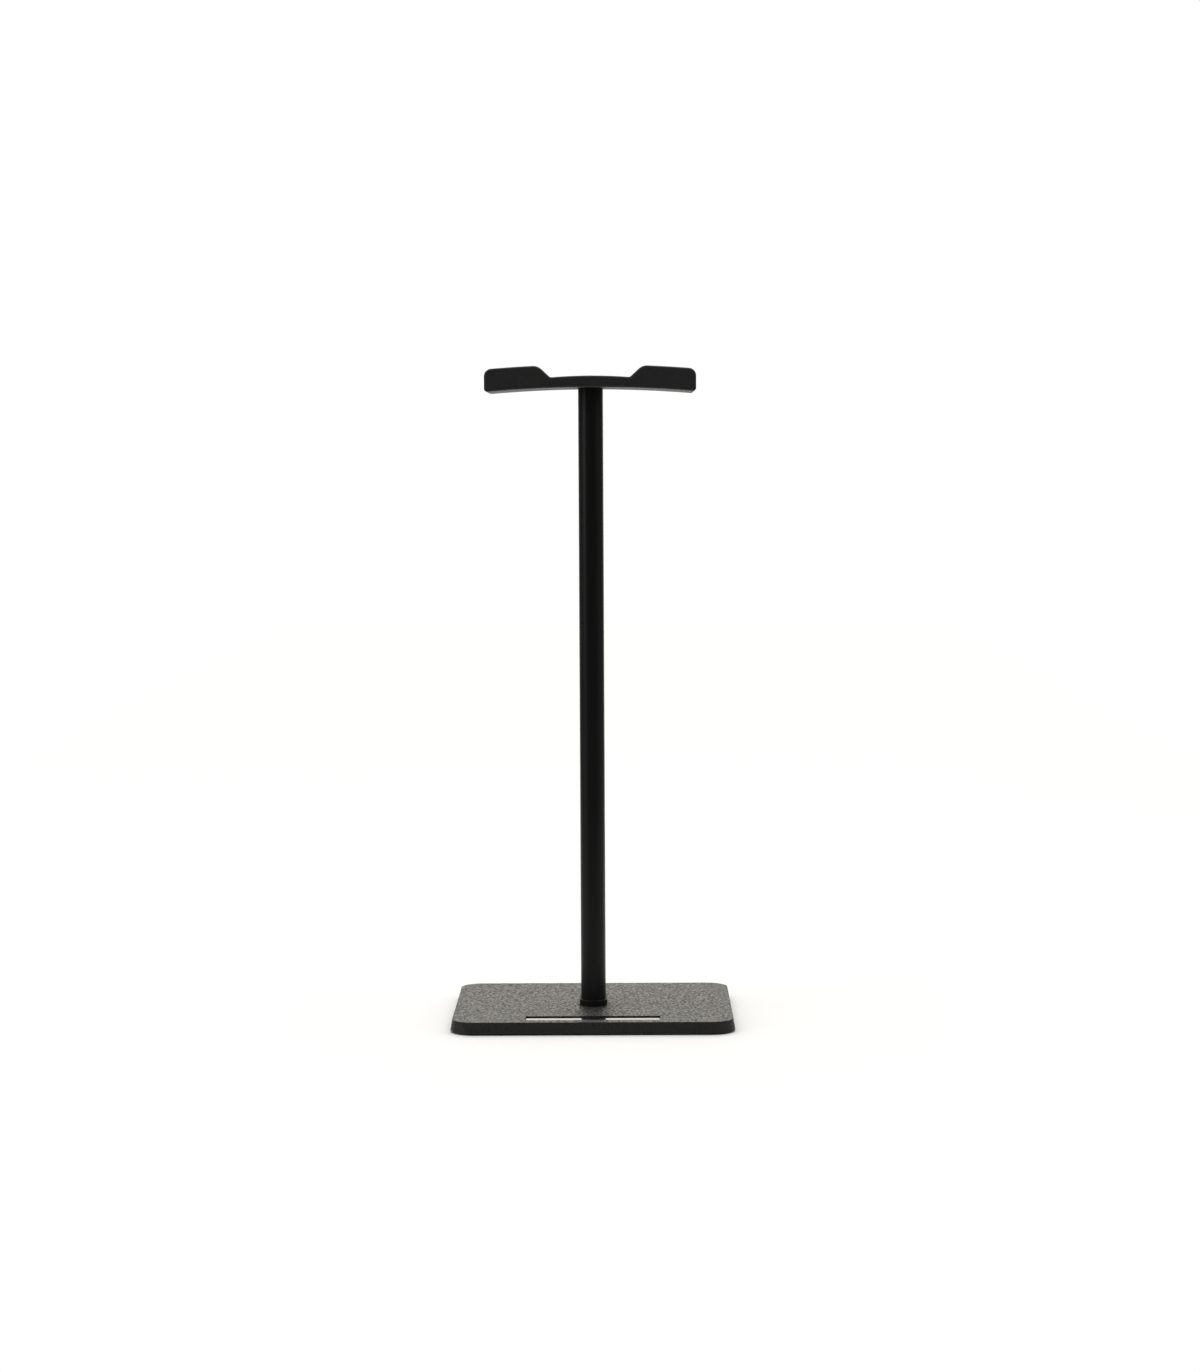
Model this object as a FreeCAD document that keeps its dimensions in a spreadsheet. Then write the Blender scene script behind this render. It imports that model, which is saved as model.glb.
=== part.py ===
"""Desktop headphone stand: a thin weighted base, a flat-oval post and an arched saddle with four lips.

Millimetres, +Z up, X across the stand, front towards -Y.  The origin is the centre of the
footprint on the surface that the stand rests on.  Every size is a cell of the sheet "Sizes",
and every sketch, pad, pocket and placement reads its size from there by expression.

The base is a moulded shell over a steel plate, closed from below by a cover on six screws.  The
post is a tube with a plug in each end: two screws from below pull it down on the steel plate, and
two more hold the saddle on top, under its soft mat.
"""

import FreeCAD
import Part
import math
import os
import re

import Sketcher
from FreeCAD import Rotation, Vector

SIZES = {
    # base shell
    "base_width": 115.6,
    "base_depth": 95.6,
    "base_corner": 10.0,
    "rest_gap": 0.5,
    "cover_inset": 0.2,
    "shell_height": 4.7,
    "shell_draft": 9.7,
    "side_wall": 2.2,
    "top_wall": 1.7,
    "shell_edge": 0.3,
    "shell_low_edge": 0.15,
    "boss_diameter": 5.0,
    "pilot_diameter": 2.0,
    "pilot_skin": 0.8,
    "boss_side_x": 50.0,
    "boss_end_x": 36.0,
    "boss_end_y": 39.5,
    # name strip in its recess
    "strip_width": 54.6,
    "strip_depth": 8.4,
    "strip_corner": 0.6,
    "strip_centre_y": -37.1,
    "strip_recess": 1.05,
    "strip_thickness": 0.5,
    "strip_play": 0.15,
    "strip_floor": 1.1,
    "strip_border": 2.0,
    "strip_edge": 0.1,
    "strip_tape_inset": 0.6,
    "tape_thickness": 0.1,
    # steel plate and cover
    "plate_thickness": 1.6,
    "plate_play": 0.4,
    "notch_runout": 16.0,
    "cover_thickness": 1.2,
    "cover_play": 0.2,
    "screw_access": 9.2,
    # feet
    "foot_diameter": 10.6,
    "foot_x": 46.0,
    "foot_y": 36.0,
    "foot_recess": 0.6,
    "foot_play": 0.2,
    "foot_edge": 0.4,
    "foot_tape_inset": 0.4,
    # post
    "post_width": 10.2,
    "post_depth": 22.0,
    "post_wall": 1.2,
    "post_top": 260.75,
    "post_play": 0.15,
    "collar_height": 2.5,
    "collar_wall": 0.6,
    "collar_edge": 0.3,
    "plug_play": 0.05,
    "foot_plug_length": 24.0,
    "head_plug_length": 18.0,
    "screw_spacing": 12.0,
    "thread_depth": 15.0,
    "insert_diameter": 5.6,
    "insert_length": 8.0,
    # fasteners
    "sink_angle": 45.0,
    "thread_play": 0.02,
    "screw_tip": 0.6,
    "post_screw_diameter": 4.0,
    "post_screw_length": 12.0,
    "post_screw_head": 8.0,
    "post_screw_head_height": 1.1,
    "post_screw_head_edge": 0.3,
    "post_screw_hex": 2.5,
    "post_screw_hex_depth": 1.4,
    "saddle_screw_diameter": 3.0,
    "saddle_screw_length": 14.0,
    "saddle_screw_head": 5.8,
    "saddle_screw_rim": 0.2,
    "saddle_screw_slot": 0.8,
    "saddle_screw_cross": 3.2,
    "saddle_screw_cross_depth": 1.1,
    "saddle_screw_sink": 0.1,
    "cover_screw_diameter": 2.0,
    "cover_screw_length": 3.5,
    "cover_screw_head": 4.2,
    "cover_screw_rim": 0.1,
    "cover_screw_slot": 0.5,
    "cover_screw_cross": 2.2,
    "cover_screw_cross_depth": 0.7,
    # saddle
    "socket_depth": 0.6,
    "socket_play": 0.1,
    "saddle_length": 85.8,
    "saddle_depth": 46.0,
    "saddle_height": 9.15,
    "saddle_radius": 500.0,
    "lip_thickness": 2.6,
    "sill_height": 4.65,
    "sill_radius": 200.0,
    "trough_height": 3.05,
    "trough_radius": 400.0,
    "notch_half": 16.1,
    "notch_slope": 43.0,
    "notch_inner_round": 1.5,
    "lip_inner_round": 5.0,
    "lip_outer_round": 3.1,
    "lip_low_round": 1.2,
    "saddle_edge": 0.8,
    "trough_edge": 0.6,
    # soft mat in the saddle
    "mat_length": 81.0,
    "mat_thickness": 1.0,
    "mat_play": 0.3,
    "mat_corner": 2.0,
    "mat_groove_depth": 0.35,
    "mat_groove_width": 0.9,
    "mat_groove_pitch": 4.5,
    "mat_groove_margin": 2.5,
}
MAT_GROOVES = 15
OVERCUT = 5.0
ALIAS = re.compile(r"\b(?:%s)\b" % "|".join(sorted(SIZES, key=len, reverse=True)))

doc = FreeCAD.newDocument("HeadphoneStand")


# ------------------------------------------------------------------ sheet, sketches and features


def make_sheet():
    """The sheet of driving dimensions: a name, its value and an alias on each row."""
    made = doc.addObject("Spreadsheet::Sheet", "Sizes")
    for row, (alias, size) in enumerate(SIZES.items(), start=1):
        made.set(f"A{row}", alias)
        made.set(f"B{row}", str(size))
        made.setAlias(f"B{row}", alias)
    doc.recompute()
    return made


SHEET = make_sheet()


def bound(expression):
    """The expression with each alias read from the sheet."""
    return ALIAS.sub(lambda found: "Sizes." + found.group(0), expression)


def number(expression):
    """What an expression in the sheet's aliases comes to."""
    return float(READER.evalExpression(bound(expression)))


READER = doc.addObject("App::FeaturePython", "Reader")


def body(name):
    made = doc.addObject("PartDesign::Body", name)
    made.Label = name
    return made


def place(thing, x="0", y="0", z="0"):
    for axis, expression in (("x", x), ("y", y), ("z", z)):
        thing.setExpression(f"Placement.Base.{axis}", bound(expression))
    return thing


def sketch(owner, name, plane="XY_Plane", x="0", y="0", z="0"):
    """A sketch on one of the body's own origin planes, moved in that plane's x, y and normal."""
    made = owner.newObject("Sketcher::SketchObject", name)
    support = next(o for o in owner.Origin.OriginFeatures if o.Role == plane)
    made.AttachmentSupport = (support, [""])
    made.MapMode = "FlatFace"
    for axis, expression in (("x", x), ("y", y), ("z", z)):
        made.setExpression(f"AttachmentOffset.Base.{axis}", bound(expression))
    return made


def constrain(owner, expression, *what):
    """Adds a dimension that follows an expression; angles are in degrees."""
    size = number(expression)
    if what[0] == "Angle":
        size = math.radians(size)
        expression = f"({expression}) * 1 deg"
    index = owner.addConstraint(Sketcher.Constraint(*what, size))
    owner.renameConstraint(index, f"size_{index}")
    owner.setExpression(f"Constraints.size_{index}", bound(expression))


def fix_point(owner, geometry, point, x, y):
    """Holds a point at x, y from the sketch's origin."""
    for kind, expression, axis in (("DistanceX", x, -2), ("DistanceY", y, -1)):
        if abs(number(expression)) < 1e-9:
            owner.addConstraint(Sketcher.Constraint("PointOnObject", geometry, point, axis))
        else:
            constrain(owner, expression, kind, -1, 1, geometry, point)


def rounded_rectangle(owner, width, depth, corner):
    """A rectangle with round corners about the sketch's origin."""
    half_x, half_y, round_ = number(width) / 2, number(depth) / 2, number(corner)
    ins_x, ins_y = half_x - round_, half_y - round_
    first = owner.GeometryCount
    ends = [
        ((-ins_x, -half_y), (ins_x, -half_y)),
        ((half_x, -ins_y), (half_x, ins_y)),
        ((ins_x, half_y), (-ins_x, half_y)),
        ((-half_x, ins_y), (-half_x, -ins_y)),
    ]
    for start, end in ends:
        owner.addGeometry(Part.LineSegment(Vector(*start, 0), Vector(*end, 0)))
    centres = [(ins_x, -ins_y, -90), (ins_x, ins_y, 0), (-ins_x, ins_y, 90), (-ins_x, -ins_y, 180)]
    for centre_x, centre_y, start in centres:
        circle = Part.Circle(Vector(centre_x, centre_y, 0), Vector(0, 0, 1), round_)
        owner.addGeometry(Part.ArcOfCircle(circle, math.radians(start), math.radians(start + 90)))
    for side in range(4):
        line, arc, after = first + side, first + 4 + side, first + (side + 1) % 4
        owner.addConstraint(Sketcher.Constraint("Tangent", line, 2, arc, 1))
        owner.addConstraint(Sketcher.Constraint("Tangent", arc, 2, after, 1))
        level = "Horizontal" if side % 2 == 0 else "Vertical"
        owner.addConstraint(Sketcher.Constraint(level, line))
        if side:
            owner.addConstraint(Sketcher.Constraint("Equal", first + 4, arc))
    owner.addConstraint(Sketcher.Constraint("Symmetric", first + 4, 3, first + 6, 3, -1, 1))
    constrain(owner, corner, "Radius", first + 4)
    constrain(owner, width, "DistanceX", first + 3, 1, first + 1, 1)
    constrain(owner, depth, "DistanceY", first, 1, first + 2, 1)


def oval(owner, width, depth):
    """Two straight flanks along y, closed by half circles, about the sketch's origin."""
    radius, reach = number(width) / 2, (number(depth) - number(width)) / 2
    first = owner.GeometryCount
    owner.addGeometry(Part.LineSegment(Vector(radius, -reach, 0), Vector(radius, reach, 0)))
    owner.addGeometry(Part.LineSegment(Vector(-radius, reach, 0), Vector(-radius, -reach, 0)))
    for centre, start in ((reach, 0.0), (-reach, math.pi)):
        circle = Part.Circle(Vector(0, centre, 0), Vector(0, 0, 1), radius)
        owner.addGeometry(Part.ArcOfCircle(circle, start, start + math.pi))
    joints = [(first, 2, first + 2, 1), (first + 2, 2, first + 1, 1)]
    joints += [(first + 1, 2, first + 3, 1), (first + 3, 2, first, 1)]
    for joint in joints:
        owner.addConstraint(Sketcher.Constraint("Tangent", *joint))
    owner.addConstraint(Sketcher.Constraint("Vertical", first))
    owner.addConstraint(Sketcher.Constraint("Symmetric", first + 2, 3, first + 3, 3, -1, 1))
    constrain(owner, f"({width}) / 2", "Radius", first + 2)
    constrain(owner, f"({depth}) - ({width})", "DistanceY", first + 3, 3, first + 2, 3)


def circles(owner, centres, diameter):
    """Equal circles at centres given as pairs of expressions."""
    first = owner.GeometryCount
    for index, (x, y) in enumerate(centres):
        centre = Vector(number(x), number(y), 0)
        owner.addGeometry(Part.Circle(centre, Vector(0, 0, 1), number(diameter) / 2))
        fix_point(owner, first + index, 3, x, y)
        if index:
            owner.addConstraint(Sketcher.Constraint("Equal", first, first + index))
    constrain(owner, f"({diameter}) / 2", "Radius", first)


def outline(owner, points):
    """A closed outline of straight runs through points given as pairs of expressions."""
    first, count = owner.GeometryCount, len(points)
    spots = [Vector(number(x), number(y), 0) for x, y in points]
    for index, spot in enumerate(spots):
        owner.addGeometry(Part.LineSegment(spot, spots[(index + 1) % count]))
    for index, (x, y) in enumerate(points):
        before = first + (index - 1) % count
        owner.addConstraint(Sketcher.Constraint("Coincident", before, 2, first + index, 1))
        fix_point(owner, first + index, 1, x, y)


def crown(owner, half_width, apex, radius, top):
    """The region between an arch and a higher arch or level line, closed by upright ends.

    The lower arch has its apex at height apex and the given radius.  top is either an arch's
    apex, given as ("arch", apex, radius), or a level line, given as ("level", height).
    """
    half = number(half_width)

    def arch(apex_, radius_):
        low, reach = number(apex_), number(radius_)
        turn = math.asin(half / reach)
        circle = Part.Circle(Vector(0, low - reach, 0), Vector(0, 0, 1), reach)
        return Part.ArcOfCircle(circle, math.pi / 2 - turn, math.pi / 2 + turn)

    def hold_arch(index, apex_, radius_):
        owner.addConstraint(Sketcher.Constraint("PointOnObject", index, 3, -2))
        constrain(owner, radius_, "Radius", index)
        constrain(owner, f"({radius_}) - ({apex_})", "DistanceY", index, 3, -1, 1)

    lower = arch(apex, radius)
    upper = arch(top[1], top[2]) if top[0] == "arch" else None
    low_y = lower.StartPoint.y
    high_y = upper.StartPoint.y if upper else number(top[1])
    owner.addGeometry(lower)
    owner.addGeometry(Part.LineSegment(Vector(half, low_y, 0), Vector(half, high_y, 0)))
    owner.addGeometry(
        upper or Part.LineSegment(Vector(half, high_y, 0), Vector(-half, high_y, 0))
    )
    owner.addGeometry(Part.LineSegment(Vector(-half, high_y, 0), Vector(-half, low_y, 0)))
    owner.addConstraint(Sketcher.Constraint("Coincident", 0, 1, 1, 1))
    owner.addConstraint(Sketcher.Constraint("Coincident", 1, 2, 2, 1))
    owner.addConstraint(Sketcher.Constraint("Coincident", 2, 2, 3, 1))
    owner.addConstraint(Sketcher.Constraint("Coincident", 3, 2, 0, 2))
    owner.addConstraint(Sketcher.Constraint("Vertical", 1))
    owner.addConstraint(Sketcher.Constraint("Vertical", 3))
    hold_arch(0, apex, radius)
    constrain(owner, half_width, "DistanceX", -1, 1, 1, 1)
    if upper:
        hold_arch(2, top[1], top[2])
        constrain(owner, half_width, "DistanceX", 3, 1, -1, 1)
    else:
        owner.addConstraint(Sketcher.Constraint("Horizontal", 2))
        constrain(owner, top[1], "DistanceY", -1, 1, 2, 1)
        constrain(owner, half_width, "DistanceX", 3, 1, -1, 1)


def prism(owner, kind, profile, length, up=True, middle=False, taper=None):
    """Pads or pockets a sketch along its normal, and checks that the volume changed that way."""
    before = owner.Shape.Volume if owner.Tip else 0.0
    made = owner.newObject(f"PartDesign::{kind}", f"{profile.Name}_{kind.lower()}")
    made.Profile = profile
    made.Reversed = up if kind == "Pocket" else not up
    if middle:
        made.SideType = "Symmetric"
    made.setExpression("Length", bound(length))
    if taper:
        made.setExpression("TaperAngle", bound(taper))
    profile.Visibility = False
    doc.recompute()
    change = made.Shape.Volume - before
    if change * (-1 if kind == "Pocket" else 1) <= 0:
        raise RuntimeError(f"{made.Name} changes the volume by {change:.3f}")
    return made


def pad(owner, profile, length, **how):
    return prism(owner, "Pad", profile, length, **how)


def pocket(owner, profile, length, **how):
    return prism(owner, "Pocket", profile, length, **how)


def soften(owner, kind, chooser, radius):
    """Rounds or chamfers the edges of the body's tip that a rule chooses."""
    tip = owner.Tip
    names = [
        f"Edge{index}" for index, edge in enumerate(tip.Shape.Edges, start=1) if chooser(edge)
    ]
    if not names:
        raise RuntimeError(f"no edges of {tip.Name} to soften")
    made = owner.newObject(f"PartDesign::{kind}", f"{tip.Name}_{kind.lower()}")
    made.Base = (tip, names)
    made.setExpression("Radius" if kind == "Fillet" else "Size", bound(radius))
    doc.recompute()
    return made


def spun(owner, profile):
    """Revolves a half profile about its sketch's upright axis."""
    made = owner.newObject("PartDesign::Revolution", f"{profile.Name}_spun")
    made.Profile = profile
    made.ReferenceAxis = (profile, ["V_Axis"])
    made.Angle = 360
    doc.recompute()
    return made


# ------------------------------------------------------------------ rules for choosing edges

NEAR = 1e-3


def at_height(height):
    level = number(height)
    return lambda e: abs(e.BoundBox.ZMin - level) < NEAR and abs(e.BoundBox.ZMax - level) < NEAR


def in_face_y(distance):
    """Edges that lie in either of the two planes y = distance and y = -distance."""
    reach = number(distance)
    return lambda e: (
        e.BoundBox.YLength < NEAR and abs(abs(e.BoundBox.YMin) - reach) < NEAR
    )


def along_y(where):
    """Straight edges along y whose |x| and z pass a test."""
    return lambda e: (
        e.BoundBox.XLength < NEAR
        and e.BoundBox.ZLength < NEAR
        and where(abs(e.BoundBox.XMin), e.BoundBox.ZMin)
    )


def reaches_past(half_x, half_y):
    """Edges that reach out of a rectangle about the z axis."""
    far_x, far_y = number(half_x), number(half_y)
    return lambda e: (
        max(e.BoundBox.XMax, -e.BoundBox.XMin) > far_x
        or max(e.BoundBox.YMax, -e.BoundBox.YMin) > far_y
    )


def upright(edge):
    return edge.BoundBox.XLength < NEAR and edge.BoundBox.YLength < NEAR


def both(first, second):
    return lambda e: first(e) and second(e)


# ------------------------------------------------------------------ heights shared by the parts

COVER_FACE = "(rest_gap + cover_inset)"
COVER_TOP = f"({COVER_FACE} + cover_thickness)"
CEILING = "(rest_gap + shell_height - top_wall)"
BASE_TOP = "(rest_gap + shell_height)"
PLATE_BOTTOM = f"({CEILING} - plate_thickness)"
STRIP_SEAT = f"({BASE_TOP} - strip_recess)"
SADDLE_BOTTOM = "(post_top - socket_depth)"
TROUGH_FLOOR = f"({SADDLE_BOTTOM} + trough_height)"

BOSSES = [
    ("boss_side_x", "0"),
    ("-boss_side_x", "0"),
    ("boss_end_x", "boss_end_y"),
    ("-boss_end_x", "boss_end_y"),
    ("boss_end_x", "-boss_end_y"),
    ("-boss_end_x", "-boss_end_y"),
]
POST_SCREWS = [("0", "screw_spacing / 2"), ("0", "-screw_spacing / 2")]
FEET = {
    "foot_front_left": ("-foot_x", "-foot_y"),
    "foot_front_right": ("foot_x", "-foot_y"),
    "foot_rear_left": ("-foot_x", "foot_y"),
    "foot_rear_right": ("foot_x", "foot_y"),
}


def countersinks(owner, level, places, mouth, hole, up=True):
    """Cuts cones from a mouth down to a hole, with sides at the sink angle to the axis."""
    cones = sketch(owner, f"{owner.Name}_countersinks", z=level)
    circles(cones, places, mouth)
    depth = f"({mouth} - {hole}) / 2 / tan(sink_angle)"
    pocket(owner, cones, depth, up=up, taper="-sink_angle")


# ------------------------------------------------------------------ base


def make_base_shell():
    """Moulded shell, open below, with drafted sides, six screw bosses and the strip's recess."""
    shell = body("base_shell")
    plan = sketch(shell, "shell_plan", z="rest_gap")
    rounded_rectangle(plan, "base_width", "base_depth", "base_corner")
    pad(shell, plan, "shell_height", taper="-shell_draft")

    cavity = sketch(shell, "shell_cavity", z="rest_gap")
    rounded_rectangle(
        cavity,
        "base_width - 2 * side_wall",
        "base_depth - 2 * side_wall",
        "base_corner - side_wall",
    )
    pocket(shell, cavity, "shell_height - top_wall")

    floor = sketch(shell, "strip_floor_plan", y="strip_centre_y", z=CEILING)
    rounded_rectangle(
        floor,
        "strip_width + 2 * strip_border",
        "strip_depth + 2 * strip_border",
        "strip_corner + strip_border",
    )
    pad(shell, floor, "strip_floor + strip_recess - top_wall", up=False)

    bosses = sketch(shell, "bosses", z=CEILING)
    circles(bosses, BOSSES, "boss_diameter")
    pad(shell, bosses, f"{CEILING} - {COVER_TOP}", up=False)
    pilots = sketch(shell, "pilots", z=COVER_TOP)
    circles(pilots, BOSSES, "pilot_diameter")
    pocket(shell, pilots, f"{BASE_TOP} - pilot_skin - {COVER_TOP}")

    recess = sketch(shell, "strip_recess_plan", y="strip_centre_y", z=BASE_TOP)
    rounded_rectangle(recess, "strip_width", "strip_depth", "strip_corner")
    pocket(shell, recess, "strip_recess", up=False)

    opening = sketch(shell, "post_opening", z=BASE_TOP)
    oval(opening, "post_width + 2 * post_play", "post_depth + 2 * post_play")
    pocket(shell, opening, "top_wall", up=False)

    rim = reaches_past("base_width / 2 - side_wall / 2", "base_depth / 2 - side_wall / 2")
    soften(shell, "Fillet", both(at_height(BASE_TOP), rim), "shell_edge")
    soften(shell, "Chamfer", both(at_height("rest_gap"), rim), "shell_low_edge")
    return shell


def make_name_strip():
    """Thin gloss strip that lies in the recess, with the tape that holds it."""
    tape = body("strip_tape")
    tape_plan = sketch(tape, "tape_plan", y="strip_centre_y", z=STRIP_SEAT)
    rounded_rectangle(
        tape_plan,
        "strip_width - 2 * strip_tape_inset",
        "strip_depth - 2 * strip_tape_inset",
        "strip_corner",
    )
    pad(tape, tape_plan, "tape_thickness")

    strip = body("name_strip")
    strip_plan = sketch(
        strip, "strip_plan", y="strip_centre_y", z=f"{STRIP_SEAT} + tape_thickness"
    )
    rounded_rectangle(
        strip_plan,
        "strip_width - 2 * strip_play",
        "strip_depth - 2 * strip_play",
        "strip_corner - strip_play",
    )
    pad(strip, strip_plan, "strip_thickness")
    top = at_height(f"{STRIP_SEAT} + tape_thickness + strip_thickness")
    soften(strip, "Chamfer", top, "strip_edge")
    return strip, tape


def make_weight_plate():
    """Steel plate that fills the cavity, notched round the recess and drilled for the bosses."""
    plate = body("weight_plate")
    plan = sketch(plate, "plate_plan", z=PLATE_BOTTOM)
    rounded_rectangle(
        plan,
        "base_width - 2 * side_wall - 2 * plate_play",
        "base_depth - 2 * side_wall - 2 * plate_play",
        "base_corner - side_wall - plate_play",
    )
    pad(plate, plan, "plate_thickness")

    holes = sketch(plate, "boss_holes", z=PLATE_BOTTOM)
    circles(holes, BOSSES, "boss_diameter + 2 * plate_play")
    circles(holes, POST_SCREWS, "post_screw_diameter + plate_play")
    pocket(plate, holes, "plate_thickness")

    notch = sketch(plate, "strip_notch", y="strip_centre_y - notch_runout / 2", z=PLATE_BOTTOM)
    rounded_rectangle(
        notch,
        "strip_width + 2 * strip_border + 2 * plate_play",
        "strip_depth + notch_runout + 2 * strip_border + 2 * plate_play",
        "strip_corner + strip_border + plate_play",
    )
    pocket(plate, notch, "plate_thickness")
    return plate


def make_base_cover():
    """Flat cover under the base, with foot recesses, countersunk holes and two access holes."""
    cover = body("base_cover")
    plan = sketch(cover, "cover_plan", z=COVER_FACE)
    rounded_rectangle(
        plan,
        "base_width - 2 * side_wall - 2 * cover_play",
        "base_depth - 2 * side_wall - 2 * cover_play",
        "base_corner - side_wall - cover_play",
    )
    pad(cover, plan, "cover_thickness")

    recesses = sketch(cover, "foot_recesses", z=COVER_FACE)
    circles(recesses, FEET.values(), "foot_diameter + 2 * foot_play")
    pocket(cover, recesses, "foot_recess")

    hole = "(cover_screw_diameter + 2 * cover_play)"
    access = sketch(cover, "screw_access_holes", z=COVER_FACE)
    circles(access, POST_SCREWS, "screw_access")
    circles(access, BOSSES, hole)
    pocket(cover, access, "cover_thickness")
    countersinks(cover, COVER_FACE, BOSSES, "(cover_screw_head + cover_play)", hole)
    rim = reaches_past(
        "base_width / 2 - side_wall - 2 * cover_play",
        "base_depth / 2 - side_wall - 2 * cover_play",
    )
    soften(cover, "Chamfer", both(at_height(COVER_FACE), rim), "cover_play")
    return cover


def make_feet():
    """Four soft feet, each stuck in its recess by a disc of tape."""
    seat = f"({COVER_FACE} + foot_recess)"
    feet = []
    for name, (x, y) in FEET.items():
        foot = place(body(name), x, y)
        plan = sketch(foot, f"{name}_plan")
        circles(plan, [("0", "0")], "foot_diameter")
        pad(foot, plan, f"{seat} - tape_thickness")
        soften(foot, "Fillet", at_height("0"), "foot_edge")
        feet.append(foot)
    tapes = body("foot_tapes")
    discs = sketch(tapes, "tape_discs", z=f"{seat} - tape_thickness")
    circles(discs, FEET.values(), "foot_diameter - 2 * foot_tape_inset")
    pad(tapes, discs, "tape_thickness")
    return feet + [tapes]


# ------------------------------------------------------------------ post


def make_post_tube():
    """Flat-oval tube that stands on the steel plate and carries the saddle."""
    tube = body("post_tube")
    section = sketch(tube, "tube_section", z=CEILING)
    oval(section, "post_width", "post_depth")
    oval(section, "post_width - 2 * post_wall", "post_depth - 2 * post_wall")
    pad(tube, section, f"post_top - {CEILING}")
    return tube


def make_collar():
    """Soft ring that hides the gap between the post and the base."""
    collar = body("post_collar")
    section = sketch(collar, "collar_section", z=BASE_TOP)
    oval(section, "post_width + 2 * collar_wall", "post_depth + 2 * collar_wall")
    oval(section, "post_width + 2 * plug_play", "post_depth + 2 * plug_play")
    pad(collar, section, "collar_height")
    rim = reaches_past("(post_width + collar_wall) / 2", "(post_depth + collar_wall) / 2")
    soften(collar, "Fillet", both(at_height(f"{BASE_TOP} + collar_height"), rim), "collar_edge")
    return collar


def make_plug(name, bottom, length, drill):
    """Oval plug that fills an end of the tube; drill adds its holes."""
    plug = body(name)
    section = sketch(plug, f"{name}_section", z=bottom)
    oval(
        section,
        "post_width - 2 * post_wall - 2 * plug_play",
        "post_depth - 2 * post_wall - 2 * plug_play",
    )
    pad(plug, section, length)
    drill(plug)
    return plug


def drill_foot_plug(plug):
    wide = sketch(plug, "insert_bores", z=CEILING)
    circles(wide, POST_SCREWS, "insert_diameter")
    pocket(plug, wide, "insert_length")
    deep = sketch(plug, "foot_plug_bores", z=CEILING)
    circles(deep, POST_SCREWS, "post_screw_diameter + 2 * plug_play")
    pocket(plug, deep, "thread_depth")


def drill_head_plug(plug):
    deep = sketch(plug, "head_plug_bores", z="post_top")
    circles(deep, POST_SCREWS, "saddle_screw_diameter")
    pocket(plug, deep, "thread_depth", up=False)


def make_foot_inserts():
    """Two threaded brass sleeves in the lower plug."""
    inserts = body("foot_inserts")
    outer = sketch(inserts, "insert_plan", z=CEILING)
    circles(outer, POST_SCREWS, "insert_diameter - 2 * thread_play")
    circles(outer, POST_SCREWS, "post_screw_diameter")
    pad(inserts, outer, "insert_length")
    return inserts


# ------------------------------------------------------------------ fasteners


def make_screw(name, head, low):
    """One screw about its own axis, head face up at z = 0, turned from half its side view.

    head is the outline from the axis down to the thread, and low is the tip's height.
    """
    thread = f"({name}_diameter / 2 - thread_play)"
    screw = body(name)
    half = sketch(screw, f"{name}_profile", plane="XZ_Plane")
    tip = [(thread, f"{low} + screw_tip"), (f"{thread} - screw_tip", low), ("0", low)]
    outline(half, [("0", "0")] + head + tip)
    spun(screw, half)
    return screw


def sunk_head(name):
    """The outline of a countersunk head: a short rim, then a cone down to the thread."""
    thread = f"({name}_diameter / 2 - thread_play)"
    rim, edge = f"{name}_head / 2", f"{name}_rim"
    return [(rim, "0"), (rim, f"-{edge}"), (thread, f"-({edge} + {rim} - {thread})")]


def cut_cross(screw):
    """Cuts a cross of two slots into the head; the sizes are named after the screw."""
    size = screw.Name
    for turn, (long_x, long_y) in (("across", ("cross", "slot")), ("along", ("slot", "cross"))):
        slot = sketch(screw, f"{size}_slot_{turn}")
        half_x, half_y = f"{size}_{long_x} / 2", f"{size}_{long_y} / 2"
        corners = [(f"-{half_x}", f"-{half_y}"), (half_x, f"-{half_y}")]
        corners += [(half_x, half_y), (f"-{half_x}", half_y)]
        outline(slot, corners)
        pocket(screw, slot, f"{size}_cross_depth", up=False)


def cut_hexagon(screw):
    """Cuts a hexagon socket into the head; the sizes are named after the screw."""
    size = screw.Name
    socket = sketch(screw, f"{size}_socket")
    turns = [60 * corner for corner in range(6)]
    radius = f"{size}_hex / sqrt(3)"
    outline(socket, [(f"{radius} * cos({turn})", f"{radius} * sin({turn})") for turn in turns])
    pocket(screw, socket, f"{size}_hex_depth", up=False)


def copies(name, master, places, turn_over=False):
    """A group of equal fasteners: one link for each place, gathered in a compound."""
    links = []
    for index, (x, y, z) in enumerate(places):
        link = doc.addObject("App::Link", f"{name}_{index}")
        link.LinkedObject = master
        if turn_over:
            link.Placement.Rotation = Rotation(Vector(1, 0, 0), 180)
        place(link, x, y, z)
        links.append(link)
    group = doc.addObject("Part::Compound", name)
    group.Label = name
    group.Links = links
    doc.recompute()
    return group


def make_post_screws():
    """Low-head screws that pull the post down on the steel plate."""
    thread = "(post_screw_diameter / 2 - thread_play)"
    rim, under = "post_screw_head / 2", "-post_screw_head_height"
    head = [
        (f"{rim} - post_screw_head_edge", "0"),
        (rim, "-post_screw_head_edge"),
        (rim, under),
        (thread, under),
    ]
    screw = make_screw("post_screw", head, "-(post_screw_head_height + post_screw_length)")
    cut_hexagon(screw)
    face = f"{PLATE_BOTTOM} - post_screw_head_height"
    return copies("post_screws", screw, [(x, y, face) for x, y in POST_SCREWS], turn_over=True)


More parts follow.
